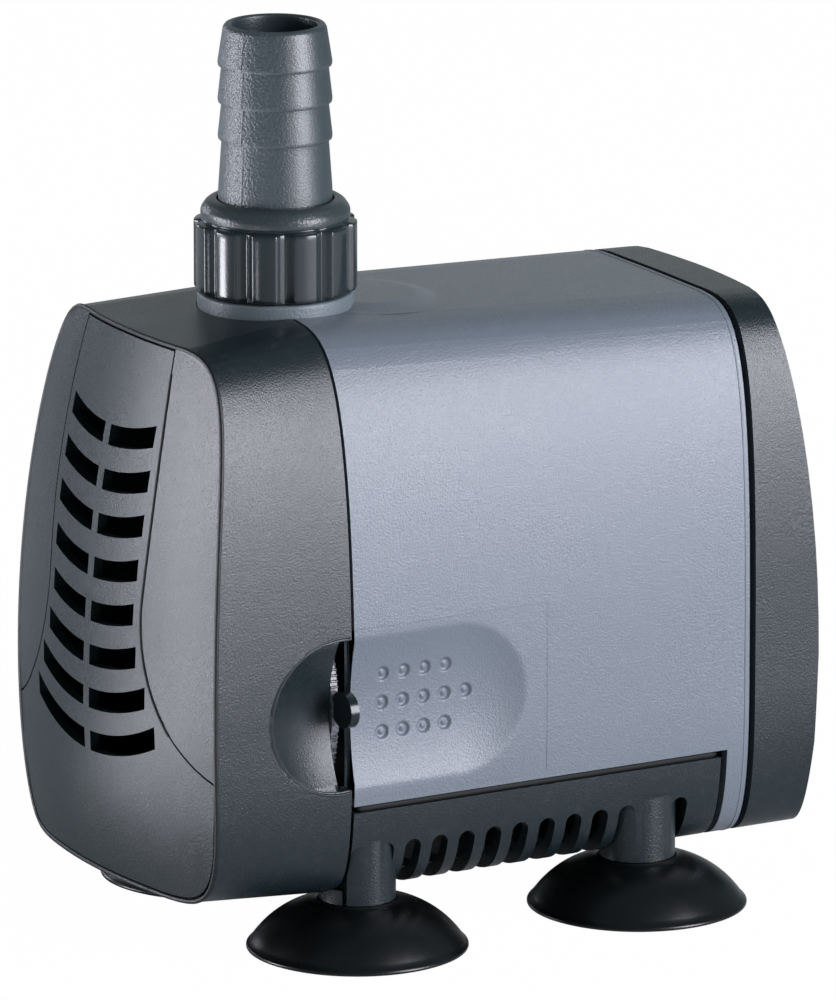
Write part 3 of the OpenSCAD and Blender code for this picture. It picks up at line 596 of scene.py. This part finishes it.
rimLook = dict(x=60.7, thick=0.34, sink=0.20, finish="casingGrey")
pocketLook = dict(x=-49.6, z=60.0, radius=18.42, first=82.0, last=278.0, clear=19.6, sideY=-34.0,
                  thick=0.36, sink=0.20, finish="frontDark")
pocketShade = dict(pocketLook, radius=18.95, thick=0.27, sink=0.12, finish="paintedCreaseShade")


def pocketLip(name, k):
    # half circle on the cover's side round the finger slot
    path, outs = [], []
    for turn in np.linspace(math.radians(k["first"]), math.radians(k["last"]), 140):
        x, z = k["x"] + k["radius"] * math.cos(turn), k["z"] + k["radius"] * math.sin(turn)
        place, out = strike("front_cover", (x, -rays["side"], z), (0, 1, 0))
        if place is None:
            continue
        path.append(place)
        outs.append(out if out[1] < 0 else -out)
    bead(name, np.array(path), np.array(outs), k, "front_part", "housing_dark", closed=False)


panelLook = dict(low=57.0, high=141.0, begin=-26.0, behind=0.7, jump=1.2, beside=0.25, thick=0.46,
                 sink=0.16, finish="paintedGapShade")


def panelLine():
    # painted shade: a black cord laid in the joint at the grille's side, found from the side at each height
    e, k = endLook, panelLook
    path, outs = [], []
    for z in np.linspace(k["high"], k["low"], 220):
        r = bowAt(z)
        y, found = k["begin"], False
        for step in range(5):
            x = e["front"] + e["round"] - math.sqrt(r ** 2 - y ** 2)
            place, out = strike("front_grille", (x + k["behind"], -rays["side"], z), (0, 1, 0))
            if place is None:
                break
            y, found = place[1] - k["beside"], True
        # the cord stops at the joint's low end, where the rays meet nothing or jump aside
        if not found or place is None or path and abs(y - path[-1][1]) > k["jump"]:
            break
        path.append((x, y, z))
        outs.append((-math.sqrt(r ** 2 - y ** 2) / r, y / r, 0.0))
    bead("painted_panel_shade", np.array(path), np.array(outs), k, "front_part", "housing_dark", closed=False)


gapShadeLook = dict(front=-45.6, rear=54.0, z=36.65, above=38.4, inset=1.1, thick=0.82, sink=0.0,
                 finish="paintedGapShade")


def gapShadeCord(name, side):
    # painted shadow: a black cord laid in the gap between the casing and the strainer, drawn in from the
    # casing's flank
    k = gapShadeLook
    path = []
    for x in np.linspace(k["front"], k["rear"], 60):
        place, out = strike("mid_casing", (x, rays["side"] * side, k["above"]), (0, -side, 0))
        path.append((x, place[1] - side * k["inset"], k["z"]))
    out = np.tile([0.0, float(side), 0.0], (len(path), 1))
    bead(name, np.array(path), out, k, "pump_body", "housing_dark", closed=False)


gapShadeCord("painted_gap_shade_right", -1)
gapShadeCord("painted_gap_shade_left", 1)
endCrease()
bead("casing_rim", *girdle("mid_casing", rimLook["x"]), rimLook, "pump_body", "housing_light")
pocketLip("pocket_lip", pocketLook)
pocketLip("pocket_shade", pocketShade)
panelLine()
print("beads laid")

# thumb dish with its dimples
dishLook = dict(depth=2.55, radius=18.0, endX=-17.8, soft=0.08, midZ=60.0, power=2.3, left=-46.1,
                right=6.0, low=39.6, high=80.4, step=0.25, near=9.0, far=45.0, wall=2.5, flankY=-38.0,
                facing=-0.3, dimple=1.75, dimpleDepth=1.15, pip=0.95, pipWide=0.80, firstX=-37.6,
                pitchX=5.63, pitchZ=7.1, midRow=61.3)


def thumbDish():
    # y = flank(x, z) + depth * (bowl + sqrt(bowl^2 + soft^2)) / 2 with bowl = 1 - (d / radius)^power,
    # d being the distance from a line that ends at endX, so that the rim is rounded; each dimple
    # sinks by (1 - (r / dimple)^2)^0.7 and has a small pip in its middle
    d = dishLook
    xs = np.arange(d["left"], d["right"] + 1e-6, d["step"])
    zs = np.arange(d["low"], d["high"] + 1e-6, d["step"])
    # the flank is nearly straight along x, so two stations behind the dish carry it forward
    flank = np.array([[strike("mid_casing", (at, -rays["side"], z), (0, 1, 0))[0][1]
                       for at in (d["near"], d["far"])] for z in zs])
    x, z = np.meshgrid(xs, zs)
    y = flank[:, :1] + (flank[:, 1:] - flank[:, :1]) * (x - d["near"]) / (d["far"] - d["near"])
    away = np.hypot(np.maximum(x - d["endX"], 0), z - d["midZ"]) / d["radius"]
    bowl = 1 - away ** d["power"]
    y = y + d["depth"] * (bowl + np.sqrt(bowl ** 2 + d["soft"] ** 2)) / 2
    for row, count in ((-1, 4), (0, 5), (1, 4)):
        for k in range(count):
            r = np.hypot(x - d["firstX"] - k * d["pitchX"], z - d["midRow"] - row * d["pitchZ"])
            y = y + d["dimpleDepth"] * np.maximum(1 - (r / d["dimple"]) ** 2, 0) ** 0.7
            y = y - d["pip"] * np.exp(-(r / d["pipWide"]) ** 2)
    points = np.stack([x, y, z], -1)
    # the front edge is turned inwards
    wall = points[:, :1] + np.array([0.0, d["wall"], 0.0])
    points = np.concatenate([wall, points], 1)
    makePiece("thumb_dish", points, gridFaces(points.shape[0], points.shape[1], False, False),
              "casingGrey", "pump_body", ["mid_casing"], 60)


# the patch of the casing that the dish takes the place of is cut out of the shell's copy
def openForDish(shell):
    d = dishLook

    def onFlank(f):
        return f.calc_center_median().y < d["flankY"] * mm and f.normal.y < d["facing"]

    for axis, at in ((0, d["right"]), (2, d["low"]), (2, d["high"])):
        flat = [f for f in shell.faces if onFlank(f)]
        geom = set(flat) | {e for f in flat for e in f.edges} | {v for f in flat for v in f.verts}
        normal = [0, 0, 0]
        normal[axis] = 1
        bmesh.ops.bisect_plane(shell, geom=list(geom), dist=1e-7, plane_co=[at * mm] * 3, plane_no=normal)
    gone = []
    for f in shell.faces:
        c = f.calc_center_median() / mm
        if onFlank(f) and c.x < d["right"] and d["low"] < c.z < d["high"]:
            gone.append(f)
    bmesh.ops.delete(shell, geom=gone, context="FACES")


thumbDish()
print("thumb dish made")

# swelling and collar behind the nut; near and far are the stations that give the casing's plain top,
# and old is the radius within which the solid's own disc is lowered
crownLook = dict(x=-18.45, flat=12.5, reach=19.0, height=0.98, edge=21.6, front=-46.05, over=0.015,
                 near=12.0, far=50.0, old=20.8, discLow=0.2, discHigh=1.2, under=0.4, around=120)
collarLook = dict(x=-41.15, inner=16.7, outer=18.55, low=147.5, high=152.0, cut=151.0, cutWide=18.6,
                  around=160)


# height of the casing's plain top, which is nearly straight along x
def casingTop(x, y):
    c = crownLook
    near, far = np.interp(y, topRows, topEnds[:, 0]), np.interp(y, topRows, topEnds[:, 1])
    return near + (far - near) * (x - c["near"]) / (c["far"] - c["near"])


topRows = np.linspace(-crownLook["edge"], crownLook["edge"], 60)
topEnds = np.array([[strike("mid_casing", (at, row, rays["above"]), (0, 0, -1))[0][2]
                     for at in (crownLook["near"], crownLook["far"])] for row in topRows])


def crown():
    # height * (1 - smooth step from flat to reach) over the casing's plain top
    c = crownLook
    r = np.concatenate([np.linspace(0.0, c["flat"], 8), np.linspace(c["flat"] + 0.3, c["edge"], 30)])
    angle = np.linspace(0, 2 * np.pi, c["around"], endpoint=False)
    x = c["x"] + r[:, None] * np.cos(angle)
    y = r[:, None] * np.sin(angle)
    z = casingTop(x, y) + c["height"] * (1 - smooth(r[:, None], c["flat"], c["reach"])) + c["over"]
    x = np.maximum(x, c["front"])
    makePiece("crown_swelling", np.stack([x, y, z], -1), gridFaces(len(r), c["around"], False, True),
              "casingGrey", "pump_body", ["mid_casing"], 60)


def collarRoll():
    # thick ring, its outline turned about the outlet line, with a well rounded upper edge
    c = collarLook
    corners = [(c["inner"], c["low"], 0.1), (c["outer"], c["low"], 0.1), (c["outer"], c["high"], 1.5),
               (c["inner"], c["high"], 0.6)]
    outline = roundedOutline(corners, 8)
    r, z = outline[:, 0][:, None], outline[:, 1][:, None]
    points = turned(c["x"], 0.0, r, z, fullTurn(c["around"]))
    makePiece("collar_roll", points, gridFaces(len(outline), c["around"], True, True), "collarGreyPaintedShade",
              "pump_body", ["mid_casing"], 50)


crown()
collarRoll()
print("collar and swelling made")

# every sharp edge of the moulded shells gets a small radius, as a mould leaves it, on a merged copy of
# the solid's mesh; two also change their form: the casing is opened and lowered under its soft pieces,
# and the regulator's thumb wheel is smaller
shells = {
    "front_cover": dict(body="front_part", finish="frontDark", slot="housing_dark", radius=0.45, limit=62),
    "front_grille": dict(body="front_part", finish="frontDark", slot="housing_dark", radius=0.50),
    "mid_casing": dict(body="pump_body", finish="casingGrey", slot="housing_light", radius=0.40),
    "rear_cover": dict(body="pump_body", finish="frontDark", slot="housing_dark", radius=0.45),
    "base_strainer": dict(body="pump_body", finish="frontDark", slot="housing_dark", radius=0.35),
    "flow_regulator": dict(body="regulator", finish="plateBlack", slot="inner_plastic", radius=0.25),
    "cable_gland": dict(body="pump_body", finish="sealRubber", slot="seal_rubber", radius=0.4),
}
wheelLook = dict(outside=-43.3, z=61.8, half=5.2, highShare=0.86, x=-50.1, wideShare=0.72)


# the collar's top comes down under the roll, and the swelling's flat disc under its soft form
def lowerCasing(shell):
    c, k = crownLook, collarLook
    for v in shell.verts:
        x, y, z = (along / mm for along in v.co)
        plain = casingTop(x, y)
        if v.co.z > k["cut"] * mm and math.hypot(x - k["x"], y) < k["cutWide"]:
            v.co.z = k["cut"] * mm
        elif math.hypot(x - c["x"], y) < c["old"] and c["discLow"] < z - plain < c["discHigh"]:
            v.co.z = (plain - c["under"]) * mm


# the thumb wheel is made lower about its middle and thinner towards its front face
def shrinkWheel(shell):
    w = wheelLook
    for v in shell.verts:
        if v.co.y < w["outside"] * mm and abs(v.co.z - w["z"] * mm) < w["half"] * mm:
            v.co.z = w["z"] * mm + (v.co.z - w["z"] * mm) * w["highShare"]
            v.co.x = w["x"] * mm + (v.co.x - w["x"] * mm) * w["wideShare"]


def softShell(node, look):
    mesh = nodes[node].data.copy()
    mesh.name = node + "_shell"
    shell = bmesh.new()
    shell.from_mesh(mesh)
    bmesh.ops.remove_doubles(shell, verts=shell.verts, dist=2e-6)
    bmesh.ops.dissolve_degenerate(shell, dist=2e-6, edges=shell.edges)
    bmesh.ops.dissolve_limit(shell, angle_limit=math.radians(0.6), use_dissolve_boundaries=False,
                             verts=shell.verts, edges=shell.edges)
    if node == "mid_casing":
        openForDish(shell)
        lowerCasing(shell)
    if node == "flow_regulator":
        shrinkWheel(shell)
    weight = shell.edges.layers.float.new("bevel_weight_edge")
    for e in shell.edges:
        at = (e.verts[0].co + e.verts[1].co) / 2 / mm
        # the finger slot's rim is left to its own bead
        across, up = at.x - pocketLook["x"], at.z - pocketLook["z"]
        slotted = at.y < pocketLook["sideY"] and math.hypot(across, up) < pocketLook["clear"]
        sharp = len(e.link_faces) == 2 and e.calc_face_angle(0) > math.radians(look.get("limit", 38))
        e[weight] = float(sharp and not (node == "front_cover" and slotted))
    shell.to_mesh(mesh)
    shell.free()
    piece = dress(node + "_shell", mesh, look["finish"], look["body"], [node], 30)
    bevel = piece.modifiers.new("edges", "BEVEL")
    bevel.width, bevel.segments = look["radius"] * mm, 2
    bevel.limit_method = "WEIGHT"
    bevel.miter_outer = "MITER_SHARP"
    bevel.use_clamp_overlap = True
    bevel.harden_normals = False
    weigh = piece.modifiers.new("normals", "WEIGHTED_NORMAL")
    weigh.keep_sharp = True
    weigh.mode = "FACE_AREA"


for node, look in shells.items():
    softShell(node, look)
print("shells rounded")

room = dict(floor=3.0, world=0.13, floorShade=0.70, glow=0.992, glossShare=0.05,
            tone=(0.80, 1.0, 1.08))


# 1 for a ray from the camera, straight or through clear parts, and glossShare for one seen in gloss
def seenShare(g):
    direct = g.add("ShaderNodeLightPath", out="Is Camera Ray")
    through = g.add("ShaderNodeLightPath", out="Is Transmission Ray")
    gloss = g.add("ShaderNodeLightPath", out="Is Glossy Ray")
    return (direct + through + gloss * room["glossShare"]).clip()


# plain paper; where it is seen it is lifted towards white and keeps some of its shadow
def floorPaper():
    g = newMaterial("floorPaper")
    shade = room["floorShade"]
    spots = g.noise(g.place(), 60.0)
    body = g.add("ShaderNodeBsdfDiffuse", None,
                 Color=g.blend(spots * 0.2, (shade,) * 3, (shade - 0.02,) * 3))
    glow = g.add("ShaderNodeEmission", None, Color=(1.0, 1.0, 1.0), Strength=1.0)
    mixed = g.add("ShaderNodeMixShader", None, seenShare(g) * room["glow"], body, glow)
    g.add("ShaderNodeOutputMaterial", None, Surface=mixed)
    return g.owner


floorMesh = bpy.data.meshes.new("floor")
half = room["floor"]
floorMesh.from_pydata([(-half, -half, 0), (half, -half, 0), (half, half, 0), (-half, half, 0)], [],
                      [(0, 1, 2, 3)])
floor = bpy.data.objects.new("floor", floorMesh)
bpy.context.scene.collection.objects.link(floor)
floorMesh.materials.append(floorPaper())

world = bpy.data.worlds.new("studio")
bpy.context.scene.world = world
# white where the camera sees it, and a dim tinted fill for everything else
g = Graph(world)
strength = seenShare(g) * (1.0 - room["world"]) + room["world"]
tint = g.blend(g.add("ShaderNodeLightPath", out="Is Camera Ray"), room["tone"], (1, 1, 1))
shine = g.add("ShaderNodeBackground", None, Color=tint, Strength=strength)
g.add("ShaderNodeOutputWorld", None, Surface=shine)

lamps = {
    "key": dict(at=(0.63, -1.137, 0.16), aim=(0, 0, 0.10), size=0.56, power=14.8,
                tint=(0.985, 0.97, 1.06)),
    "keyTop": dict(at=(0.63, -1.137, 0.74), aim=(0, 0, 0.10), size=0.56, power=14.6,
                   tint=(0.985, 0.97, 1.06)),
    "rim": dict(at=(-1.126, 0.65, 0.16), aim=(0, 0, 0.10), size=0.46, power=11.2,
                tint=(0.975, 0.965, 1.08)),
    "edge": dict(at=(-0.28, 1.10, 0.30), aim=(-0.04, 0, 0.19), size=0.22, power=1.1,
                 tint=(0.97, 0.98, 1.06)),
    "table": dict(at=(-0.36, 0.115, 0.004), aim=(-0.36, 0.115, 1.0), size=0.42, wide=0.14, turn=155.0,
                  power=0.9, tint=(0.97, 0.98, 1.06)),
    "tableFar": dict(at=(-0.64, 0.20, 0.004), aim=(-0.64, 0.20, 1.0), size=0.34, wide=0.16, turn=155.0,
                     power=3.2, tint=(0.97, 0.98, 1.06)),
    # a narrow slit low on the left: thin light lines on the nut's lobes and the slots' left edges
    "slit": dict(at=(-0.45, -0.26, 0.004), aim=(-0.45, -0.26, 1.0), size=0.50, wide=0.035, turn=-150.0,
                 power=0.4, tint=(0.96, 0.97, 1.06)),
    "tableRight": dict(at=(0.26, -0.50, 0.004), aim=(0.26, -0.50, 1.0), size=0.30, power=0.25,
                       tint=(0.97, 0.98, 1.06)),
    "back": dict(at=(0.75, 1.30, 0.45), aim=(0, 0, 0.12), size=1.2, power=1.3, tint=(1.0, 1.0, 1.0)),
}
for name, lamp in lamps.items():
    light = bpy.data.lights.new(name, "AREA")
    light.shape, light.energy = "RECTANGLE", lamp["power"]
    light.size, light.size_y = lamp["size"], lamp.get("wide", lamp["size"])
    light.color = lamp["tint"]
    holder = bpy.data.objects.new(name, light)
    holder.location = lamp["at"]
    way = Vector(lamp["aim"]) - holder.location
    holder.rotation_euler = way.to_track_quat("-Z", "Y").to_euler()
    if "turn" in lamp:
        holder.rotation_euler = (math.pi, 0, math.radians(lamp["turn"]))
    bpy.context.scene.collection.objects.link(holder)

shot = dict(target=(-0.00275, 0.0, 0.096), turn=29.2, rise=14.2, distance=2.8095, lens=424.8)
turn, rise = math.radians(shot["turn"]), math.radians(shot["rise"])
ahead = Vector((math.sin(turn) * math.cos(rise), math.cos(turn) * math.cos(rise), -math.sin(rise)))
lens = bpy.data.cameras.new("camera")
lens.sensor_fit, lens.sensor_width, lens.sensor_height = "AUTO", 36.0, 36.0
lens.lens = shot["lens"]
lens.clip_end = 20.0
camera = bpy.data.objects.new("camera", lens)
camera.location = Vector(shot["target"]) - ahead * shot["distance"]
camera.rotation_euler = ahead.to_track_quat("-Z", "Y").to_euler()
bpy.context.scene.collection.objects.link(camera)
bpy.context.scene.camera = camera
bpy.context.scene.view_settings.view_transform = "Standard"
print("camera and lamps placed")
